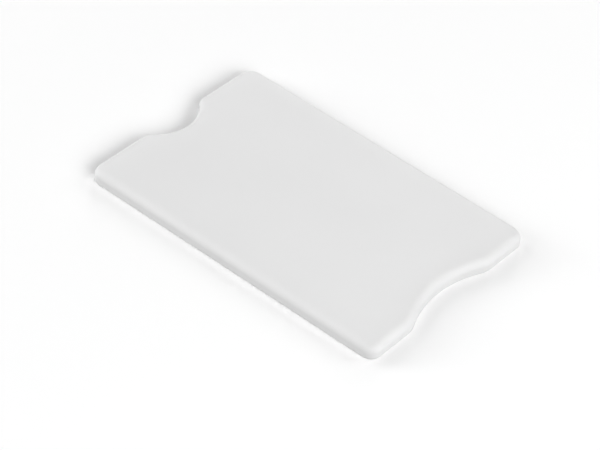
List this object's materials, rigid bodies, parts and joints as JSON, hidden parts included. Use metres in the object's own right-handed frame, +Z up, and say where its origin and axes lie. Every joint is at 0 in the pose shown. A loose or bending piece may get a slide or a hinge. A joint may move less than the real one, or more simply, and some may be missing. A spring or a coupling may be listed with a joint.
{
  "type": "rigid card sleeve",
  "caption": "Rigid plastic sleeve for one bank card, screened against contactless readers, with a crowned top, a thumb notch at its open end and a shallow finger hollow at its closed end.",
  "frame": {"origin": "centre of the underside, on the surface that the sleeve lies on", "axes": "+X towards the closed end with the finger hollow, -X out of the card mouth, +Z up through the crowned top"},
  "size_m": [0.091, 0.0612, 0.0046],
  "materials": {
    "cover_plastic": "light grey-white moulded ABS, fine satin",
    "base_plastic": "light grey-white moulded ABS, fine satin",
    "shield_foil": "rolled foil, bright side towards the card",
    "adhesive_film": "clear adhesive film, slightly yellow"
  },
  "bodies": {
    "root": {"cover_shell": "cover_plastic", "base_plate": "base_plastic", "upper_shield_foil": "shield_foil", "upper_foil_adhesive": "adhesive_film", "lower_shield_foil": "shield_foil", "lower_foil_adhesive": "adhesive_film"}
  },
  "joints": []
}
